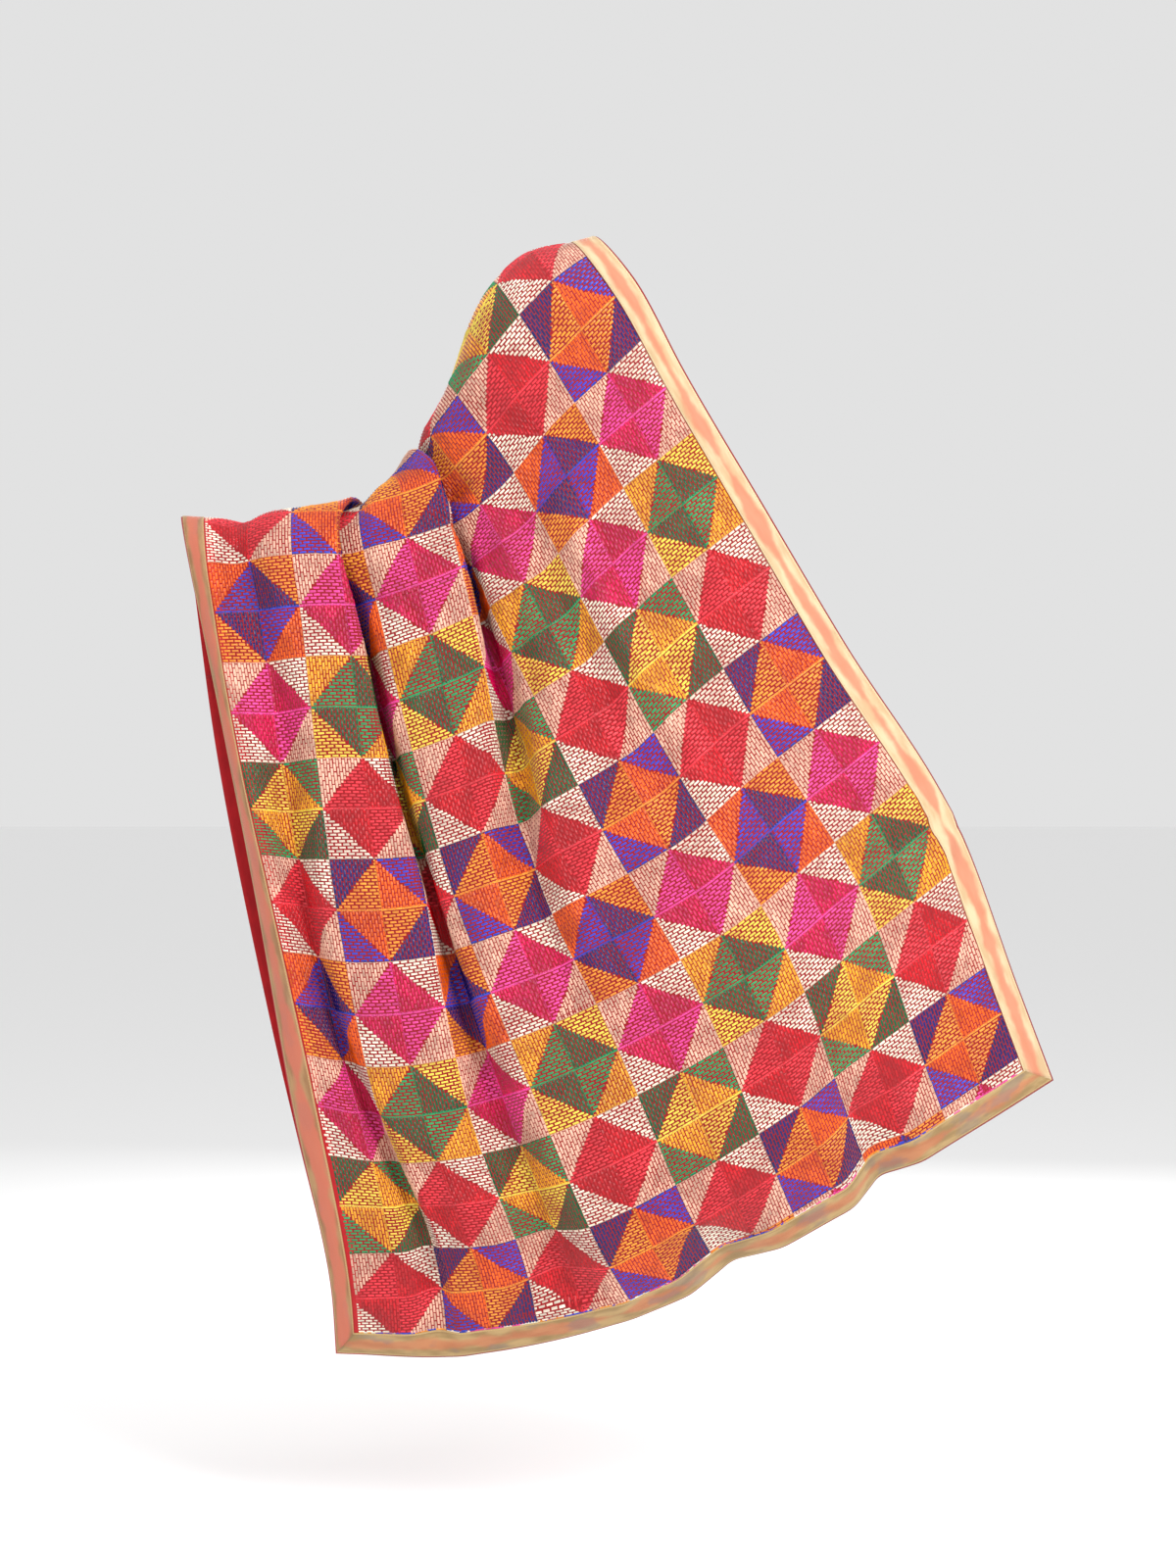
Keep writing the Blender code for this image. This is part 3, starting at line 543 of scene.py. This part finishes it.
def piece(name, points, faces, flat, materials, kinds=None):
    """A mesh piece from points, faces of as many corners each, and each point's place in metres
    on the flat cut."""
    data = bpy.data.meshes.new(name)
    corners = faces.shape[1]
    data.vertices.add(len(points))
    data.vertices.foreach_set("co", points.astype(np.float32).ravel())
    data.loops.add(faces.size)
    data.loops.foreach_set("vertex_index", faces.astype(np.int32).ravel())
    data.polygons.add(len(faces))
    data.polygons.foreach_set("loop_start", np.arange(0, faces.size, corners, dtype=np.int32))
    if kinds is not None:
        data.polygons.foreach_set("material_index", kinds.astype(np.int32))
    data.update(calc_edges=True)
    places = flat[faces.ravel()]
    size = np.ptp(places, axis=0)
    for layer, uv in (("OFBake", (places - places.min(axis=0)) / size), ("cut", places)):
        data.uv_layers.new(name=layer).uv.foreach_set("vector", uv.astype(np.float32).ravel())
    for material in materials:
        data.materials.append(material)
    data.validate()
    data.shade_smooth()
    made = bpy.data.objects.new(name, data)
    bpy.context.scene.collection.objects.link(made)
    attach(made, "root")
    return made


def metres(across, along):
    """Places on the flat cut in metres, from the wrist edge and the back hem."""
    return np.stack([(across - WRIST_EDGE) * BLOCK_ACROSS, (along - FIRST_ROW) * BLOCK_ALONG], axis=-1)


def wall(name, surface, across, along, over, under, materials, flat=None):
    """A closed thin wall over a grid of places, between two heights above the cloth's face."""
    rows, width = across.shape
    points = np.concatenate([surface.at(across, along, over + 0 * across).reshape(-1, 3),
                             surface.at(across, along, under + 0 * across).reshape(-1, 3)])
    index = np.arange(rows * width).reshape(rows, width)
    a, b, c, d = index[:-1, :-1], index[:-1, 1:], index[1:, 1:], index[1:, :-1]
    top = np.stack([a, b, c, d], axis=-1).reshape(-1, 4)
    below = top[:, ::-1] + rows * width
    rim = np.concatenate([index[0], index[1:, -1], index[-1, -2::-1], index[-2::-1, 0]])
    sides = np.stack([rim[1:], rim[:-1], rim[:-1] + rows * width, rim[1:] + rows * width], axis=-1)
    flat = metres(across, along) if flat is None else flat
    flat = np.tile(flat.reshape(-1, 2), (2, 1))
    kinds = np.full(len(top) + len(below) + len(sides), len(materials) - 1)
    kinds[:len(top)] = 0
    return piece(name, points, np.concatenate([top, below, sides]), flat, materials, kinds)


# ---- materials -----------------------------------------------------------------------------
class Material:
    """A Principled material and the few nodes that every cloth here needs."""

    def __init__(self, name, roughness, sheen=0.0, specular=0.5):
        self.made = bpy.data.materials.new(name)
        self.made.use_nodes = True
        self.tree = self.made.node_tree
        self.shader = self.tree.nodes["Principled BSDF"]
        self.shader.inputs["Roughness"].default_value = roughness
        self.shader.inputs["Sheen Weight"].default_value = sheen
        self.shader.inputs["Specular IOR Level"].default_value = specular
        self.place = self.node("ShaderNodeUVMap", uv_map="cut").outputs["UV"]

    def node(self, kind, **settings):
        made = self.tree.nodes.new(kind)
        for name, value in settings.items():
            setattr(made, name, value)
        return made

    def feed(self, socket, value):
        if isinstance(value, bpy.types.NodeSocket):
            self.tree.links.new(value, socket)
        else:
            socket.default_value = value

    def scaled(self, x, y):
        """The place on the cut, scaled along each of its axes."""
        made = self.node("ShaderNodeMapping")
        self.feed(made.inputs["Vector"], self.place)
        made.inputs["Scale"].default_value = (x, y, 1.0)
        return made.outputs["Vector"]

    def noise(self, x, y, detail=2.0):
        """Noise with so many spots to the metre along each axis."""
        made = self.node("ShaderNodeTexNoise", noise_dimensions="2D")
        self.feed(made.inputs["Vector"], self.scaled(x, y))
        made.inputs["Scale"].default_value = 1.0
        made.inputs["Detail"].default_value = detail
        return made.outputs["Fac"]

    def threads(self, period, axis):
        """Bands across one axis of the cut, from 0 to 1."""
        made = self.node("ShaderNodeTexWave", bands_direction=axis)
        self.feed(made.inputs["Vector"], self.place)
        made.inputs["Scale"].default_value = WAVE_PERIOD / period
        return made.outputs["Fac"]

    def math(self, operation, a, b, clamp=False):
        made = self.node("ShaderNodeMath", operation=operation, use_clamp=clamp)
        self.feed(made.inputs[0], a)
        self.feed(made.inputs[1], b)
        return made.outputs[0]

    def ramp(self, value, low, high):
        """0 below low and 1 above high, with a smooth step between."""
        made = self.node("ShaderNodeMapRange", interpolation_type="SMOOTHSTEP")
        for socket, given in zip(("Value", "From Min", "From Max"), (value, low, high)):
            self.feed(made.inputs[socket], given)
        return made.outputs["Result"]

    def mix(self, share, a, b, blend="MIX"):
        made = self.node("ShaderNodeMix", data_type="RGBA", blend_type=blend)
        self.feed(made.inputs["Factor"], share)
        self.feed(made.inputs["A"], a)
        self.feed(made.inputs["B"], b)
        return made.outputs["Result"]

    def paint(self, value):
        self.feed(self.shader.inputs["Base Color"], value)

    def bump(self, height, depth):
        made = self.node("ShaderNodeBump")
        made.inputs["Strength"].default_value = 1.0
        made.inputs["Distance"].default_value = depth
        self.feed(made.inputs["Height"], height)
        self.feed(self.shader.inputs["Normal"], made.outputs["Normal"])


def shaded(srgb, share):
    """An sRGB colour scaled towards black or white."""
    return color([min(255, channel * share) for channel in srgb])


def floss_material(name, srgb, across):
    """Glossy floss silk: fine filaments along the stitch, and a tone that changes between stitches
    and from one dyed skein to the next."""
    made = Material(name, FLOSS_ROUGHNESS)
    tones = [shaded(srgb, share) for share in SKEIN_TONES]
    lots = made.mix(made.ramp(made.noise(*SKEIN_SPOTS), *SKEIN_RAMP), *tones)
    tone = made.node("ShaderNodeAttribute", attribute_name="tone").outputs["Color"]
    made.paint(made.mix(1.0, lots, tone, "MULTIPLY"))
    made.bump(made.threads(FILAMENT, "Y" if across else "X"), FILAMENT_DEPTH)
    return made.made


def ground_material(name, embroidered):
    """Red cotton in a plain weave, with painted shade making it deeper between the stitches of an
    embroidered face.
    """
    made = Material(name, 0.8, sheen=0.2, specular=0.3)
    red = made.mix(made.noise(*COTTON_SPOTS), *(shaded(GROUND, share) for share in COTTON_TONES))
    if embroidered:
        parts = made.node("ShaderNodeSeparateXYZ")
        made.feed(parts.inputs[0], made.place)
        strip = MARGIN + BARE_STRIP[0][1]
        # Painted shade: past the bare strip by the wrist tape, the ground is painted darker where the
        # floss covers it
        painted_stitch_shade = made.ramp(parts.outputs["X"], strip, strip + SHADE_REACH)
        red = made.mix(painted_stitch_shade, red, color(SHADED_GROUND))
    made.paint(red)
    weave = made.math("MULTIPLY", made.threads(WEAVE, "X"), made.threads(WEAVE, "Y"))
    made.bump(weave, WEAVE_DEPTH)
    return made.made


def tape_material(name, gold, pale, salmon, stripe_share, stripe_reach, stain_share):
    """Woven gold tissue: pale selvedges, and a salmon stripe of uneven width where the ground shows."""
    made = Material(name, 0.5, sheen=0.1, specular=0.5)
    parts = made.node("ShaderNodeSeparateXYZ")
    made.feed(parts.inputs[0], made.place)
    aside = made.math("ABSOLUTE", made.math("SUBTRACT", parts.outputs["Y"], TAPE_WIDTH / 2), 0.0)
    drift = made.math("SUBTRACT", made.noise(*STRIPE_NOISE), 0.5)
    drift = made.math("MULTIPLY", drift, STRIPE_DRIFT)
    reach = made.math("ADD", aside, drift)
    stripe = made.ramp(reach, stripe_reach + STRIPE_SOFTNESS, stripe_reach - STRIPE_SOFTNESS)
    body = made.mix(made.ramp(made.noise(*GOLD_NOISE), *GOLD_RAMP), color(gold), color(pale))
    body = made.mix(made.math("MULTIPLY", stripe, stripe_share), body, color(salmon))
    stains = made.ramp(made.noise(*STAIN_NOISE), *STAIN_RAMP)
    body = made.mix(made.math("MULTIPLY", stains, stain_share), body, color(TAPE_STAIN))
    edge = made.ramp(aside, *(TAPE_WIDTH / 2 - inset for inset in SELVEDGE))
    made.paint(made.mix(edge, body, shaded(pale, SELVEDGE_TONE)))
    weave = made.math("MULTIPLY", made.threads(WEAVE * TISSUE_COARSE, "X"), made.threads(WEAVE, "Y"))
    made.bump(weave, TISSUE_DEPTH)
    return made.made


def plain_material(name, srgb, roughness):
    made = Material(name, roughness)
    made.shader.inputs["Base Color"].default_value = color(srgb)
    return made.made


# ---- the cloth and its tapes ---------------------------------------------------------------
def make_cloth(surface):
    """The cloth's wall, a piece for each stretch that the CAD has."""
    ground = [ground_material("embroidered_red_cotton", True), ground_material("red_cotton", False)]
    made = []
    start = FIRST_ROW
    for name, end in STRETCHES:
        end = LAST_ROW if end is None else end
        rows = int(np.ceil((end - start) * BLOCK_ALONG / WALL_ROW)) + 1
        along = np.linspace(start, end, rows)
        across = surface.columns(along, WALL_COLUMNS)
        along = np.repeat(along[:, None], WALL_COLUMNS, axis=1)
        cloth = wall(f"{name}_cloth", surface, across, along, 0.0, -CLOTH_WALL, ground)
        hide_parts(name)
        made.append((cloth, (end - start) * BLOCK_ALONG))
        start = end
    return made


def between(corners, rows, width):
    """A grid of places between four corners: low left, low right, high left and high right."""
    low_left, low_right, high_left, high_right = np.array(corners)
    s = np.linspace(0, 1, width)[None, :, None]
    t = np.linspace(0, 1, rows)[:, None, None]
    grid = (low_left * (1 - s) + low_right * s) * (1 - t) + (high_left * (1 - s) + high_right * s) * t
    return grid[..., 0], grid[..., 1]


def make_tapes(surface):
    """The four tapes, mitred where they meet."""
    x = [WRIST_EDGE + reach / BLOCK_ACROSS for reach in (TAPE_INSET, TAPE_INSET + TAPE_WIDTH)]
    x += [BLOCKS_ACROSS - place for place in reversed(x)]
    y = [FIRST_ROW + reach / BLOCK_ALONG for reach in (TAPE_INSET, TAPE_INSET + TAPE_WIDTH)]
    y += [FIRST_ROW + LAST_ROW - place for place in reversed(y)]
    corners = {
        "tape_wrist_edge": ((x[0], y[0]), (x[1], y[1]), (x[0], y[3]), (x[1], y[2])),
        "tape_neck_edge": ((x[2], y[1]), (x[3], y[0]), (x[2], y[2]), (x[3], y[3])),
        "tape_back_end": ((x[0], y[0]), (x[3], y[0]), (x[1], y[1]), (x[2], y[1])),
        "tape_front_end": ((x[1], y[2]), (x[2], y[2]), (x[0], y[3]), (x[3], y[3])),
    }
    made = []
    for name, places in corners.items():
        length = CLOTH_LENGTH if name.endswith("_edge") else CLOTH_WIDTH
        steps = int(length / TAPE_ROW)
        if name.endswith("_edge"):
            across, along = between(places, steps, TAPE_COLUMNS + 1)
            aside = np.broadcast_to(np.linspace(0, 1, TAPE_COLUMNS + 1), across.shape)
            run = along * BLOCK_ALONG
        else:
            across, along = between(places, TAPE_COLUMNS + 1, steps)
            aside = np.broadcast_to(np.linspace(0, 1, TAPE_COLUMNS + 1)[:, None], across.shape)
            run = across * BLOCK_ACROSS
        crown = TAPE_PUFF * 4 * aside * (1 - aside)
        flat = np.stack([run - run.min(), aside * TAPE_WIDTH], axis=-1)
        tape = wall(f"{name}_woven", surface, across, along, SEAM_GAP + TAPE_WALL + crown, SEAM_GAP,
                    [tape_material(f"gold_tissue_{name}", *TAPE_LOOKS[name])], flat)
        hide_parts(name)
        made.append(tape)
    return made


# ---- the embroidery ------------------------------------------------------------------------
def patches(at):
    """Along a line that crosses a block at this share of its side: (patch, from, to) of the
    patches that are stitched along that line."""
    if at > 0.5:
        return ("diamond", at - 0.5, 0.5), ("corner", 1.5 - at, 1.0)
    return ("corner", 0.0, 0.5 - at), ("diamond", 0.5, 0.5 + at)


def row_of_stitches(start, end, repeat, share, shift):
    """Where each stitch of one row starts and ends."""
    marks = np.arange(np.floor(start / repeat) - 1, np.ceil(end / repeat) + 1) + shift
    starts = np.maximum(marks * repeat, start)
    ends = np.minimum((marks + share) * repeat, end)
    return [pair for pair in zip(starts, ends) if pair[1] - pair[0] > SHORTEST_STITCH]


def block_stitches():
    """Stitches of one block: (patch, whether it takes the lighter floss tone, a painted sheen
    highlight, x0, y0, x1, y1, width, height), in metres. Stitches that run across take it, and so
    do the diamond's cord and satin.
    """
    sides = np.array([BLOCK_ACROSS, BLOCK_ALONG])
    found = []

    def add(patch, light, way, row, start, end, width, height):
        ends = np.full((2, 2), row, float)
        ends[:, way] = start, end
        found.append((patch, light, *ends.ravel(), width, height))

    for way in (0, 1):
        length, depth = sides[way], sides[1 - way]
        count = round(depth / STITCH_PITCH[1 - way])
        width = depth / count * STITCH_WIDTH[way]
        for k in range(count):
            at = (k + 0.5) / count
            for patch, start, end in patches(1 - at if way else at):
                for pair in row_of_stitches(start * length, end * length, STITCH_REPEAT,
                                            STITCH_SHARE[way], k % 2 / 2):
                    add(patch, way == 0, way, at * depth, *pair, width, STITCH_HEIGHT)
        for patch, row in (("diamond", depth / 2), ("corner", CORD_WIDTH / 2),
                           ("corner", depth - CORD_WIDTH / 2)):
            if patch == "corner" or way == 1:
                for pair in row_of_stitches(0, length, CORD_REPEAT, CORD_SHARE, CORD_SHIFT):
                    add(patch, patch == "diamond", way, row, *pair, CORD_WIDTH, STITCH_HEIGHT)
    for x in np.arange(SATIN_PITCH / 2, BLOCK_ACROSS, SATIN_PITCH):
        middle = BLOCK_ALONG / 2
        add("diamond", True, 1, x, middle - SATIN_LENGTH / 2, middle + SATIN_LENGTH / 2,
            SATIN_PITCH * SATIN_OVERLAP, SATIN_HEIGHT)
    return found


def stitch_mesh(surface, ends, width, height, lift=0.0):
    """Points, triangles and places of ridged stitches between pairs of places in metres."""
    run = ends[:, 1] - ends[:, 0]
    length = np.linalg.norm(run, axis=1, keepdims=True)
    ahead = run / length
    side = np.stack([-ahead[:, 1], ahead[:, 0]], axis=1) * width[:, None] / 2
    hip = ahead * np.minimum(HIP_SHARE * length, LONGEST_HIP)
    a, b = ends[:, 0], ends[:, 1]
    flat = np.stack([a + side, a - side, b - side, b + side, a + hip, b - hip], axis=1)
    lifts = np.full(flat.shape[:2], lift - STITCH_SINK)
    lifts[:, 4:] = lift + height[:, None]
    across = flat[..., 0] / BLOCK_ACROSS + WRIST_EDGE
    along = flat[..., 1] / BLOCK_ALONG + FIRST_ROW
    points = surface.at(across, along, lifts).reshape(-1, 3)
    shape = np.array([(0, 1, 4), (1, 2, 5), (1, 5, 4), (2, 3, 5), (3, 0, 4), (3, 4, 5)])
    faces = (np.arange(len(ends))[:, None, None] * 6 + shape).reshape(-1, 3)
    return points, faces, flat.reshape(-1, 2)


def all_stitches():
    """Every stitch on the cloth: colour number, whether it has the lighter tone (its floss painted
    lighter as a sheen highlight), ends, width and height."""
    names = [name for name, _, _ in FLOSS]
    block = block_stitches()
    corner = np.array([patch == "corner" for patch, *_ in block])
    # light marks the stitches that take the lighter tone, the painted sheen highlight
    light = np.array([row[1] for row in block])
    sizes = np.array([row[2:] for row in block])
    rng = np.random.default_rng(SEED)
    parts = []
    for j in range(-1, int(EMBROIDERY_END) + 2):
        for i in range(BLOCKS_ACROSS):
            shades = [names.index(name) for name in CHART[j % 4][i % 2]]
            ends = sizes[:, :4].reshape(-1, 2, 2).copy()
            ends += rng.normal(0, STITCH_STRAY, (len(ends), 1, 2))
            ends += rng.normal(0, STITCH_STRAY / 2, ends.shape)
            across = i + ends[..., 0] / BLOCK_ACROSS
            along = j + ends[..., 1] / BLOCK_ALONG - HEM_START - HEM_SKEW * across
            along = np.clip(along, HEM_CLEAR, EMBROIDERY_END - HEM_CLEAR)
            places = metres(across, along)
            edge = MARGIN + np.interp(along, *np.transpose(BARE_STRIP))
            places[..., 0] = np.maximum(places[..., 0], edge)
            inside = places[..., 0].max(axis=1) > edge.max(axis=1)
            keep = inside & (np.linalg.norm(places[:, 1] - places[:, 0], axis=1) > SHORTEST_STITCH)
            width = sizes[:, 4] * rng.normal(1, WIDTH_SPREAD, len(ends))
            height = sizes[:, 5] * rng.normal(1, HEIGHT_SPREAD, len(ends))
            shade = np.where(corner, *shades)
            parts.append((shade[keep], light[keep], places[keep], width[keep], height[keep]))
    return [np.concatenate(columns) for columns in zip(*parts)]


def make_embroidery(surface):
    """The floss, a piece for each colour."""
    shade, light, ends, width, height = all_stitches()
    rng = np.random.default_rng(SEED)
    made = []
    for number, (name, across, along) in enumerate(FLOSS):
        own = shade == number
        points, faces, flat = stitch_mesh(surface, ends[own], width[own], height[own])
        # Material 0 is the floss painted lighter as a sheen highlight, material 1 the same floss
        # painted darker as shade
        materials = [floss_material(f"floss_{name}_across", across, True),
                     floss_material(f"floss_{name}_along", along, False)]
        kinds = np.repeat(np.where(light[own], 0, 1), 6)
        floss = piece(f"floss_{name}", points, faces, flat, materials, kinds)
        tones = np.repeat(rng.uniform(*STITCH_TONES, own.sum()), 6)
        shown = floss.data.attributes.new("tone", "FLOAT_COLOR", "POINT")
        shown.data.foreach_set("color", np.repeat(tones, 4))
        made.append(floss)
    return made


def make_sewing(surface):
    """The rows of stitches that hold the tapes, along both edges of each."""
    rows = []
    inner = CLOTH_WIDTH, CLOTH_LENGTH
    for reach in (TAPE_INSET + SEWING_INSET, TAPE_INSET + TAPE_WIDTH - SEWING_INSET):
        for way in (0, 1):
            for row in (reach, inner[1 - way] - reach):
                for pair in row_of_stitches(reach, inner[way] - reach, SEWING_REPEAT,
                                            SEWING_SHARE, 0.0):
                    ends = np.full((2, 2), row)
                    ends[:, way] = pair
                    rows.append(ends)
    ends = np.array(rows)
    size = np.ones(len(ends))
    thread = plain_material("sewing_thread", SEWING_THREAD, 0.5)
    points, faces, flat = stitch_mesh(surface, ends, size * SEWING_WIDTH, size * SEWING_HEIGHT,
                                      SEAM_GAP + TAPE_WALL)
    sewing = piece("tape_sewing", points, faces, flat, [thread])
    return sewing


# ---- the studio ----------------------------------------------------------------------------
def make_floor():
    """A wide pale floor under the shawl."""
    corners = [(x, y, FLOOR) for x, y in ((-1, -1), (1, -1), (1, 1), (-1, 1))]
    points = [(x * FLOOR_REACH, y * FLOOR_REACH, z) for x, y, z in corners]
    data = bpy.data.meshes.new("floor")
    data.from_pydata(points, [], [(0, 1, 2, 3)])
    data.materials.append(plain_material("pale_floor", FLOOR_COLOR, FLOOR_ROUGHNESS))
    floor = bpy.data.objects.new("floor", data)
    bpy.context.scene.collection.objects.link(floor)


def make_light(name, place, size, power):
    """A square soft box that faces the shawl's middle."""
    lamp = bpy.data.lights.new(name, "AREA")
    lamp.size = size
    lamp.energy = power
    light = bpy.data.objects.new(name, lamp)
    light.visible_camera = False
    light.location = place
    aim = np.array(LIGHT_TARGET) - np.array(place)
    light.rotation_euler = mathutils.Vector(aim).to_track_quat("-Z", "Y").to_euler()
    bpy.context.scene.collection.objects.link(light)


def make_studio():
    scene = bpy.context.scene
    scene.view_settings.view_transform = "Standard"
    make_floor()
    world = bpy.data.worlds.new("studio")
    world.use_nodes = True
    world.node_tree.nodes["Background"].inputs["Color"].default_value = (1.0, 1.0, 1.0, 1.0)
    world.node_tree.nodes["Background"].inputs["Strength"].default_value = WORLD_STRENGTH
    scene.world = world
    for row in LIGHTS:
        make_light(*row)
    lens = bpy.data.cameras.new("camera")
    lens.lens = LENS
    lens.sensor_width = SENSOR_WIDTH
    camera = bpy.data.objects.new("camera", lens)
    camera.location = CAMERA_PLACE
    camera.rotation_euler = (np.pi / 2, 0.0, 0.0)
    scene.collection.objects.link(camera)
    scene.camera = camera


def main():
    surface = Surface()
    cloths = make_cloth(surface)
    trims = make_tapes(surface) + make_embroidery(surface) + [make_sewing(surface)]
    make_studio()


main()
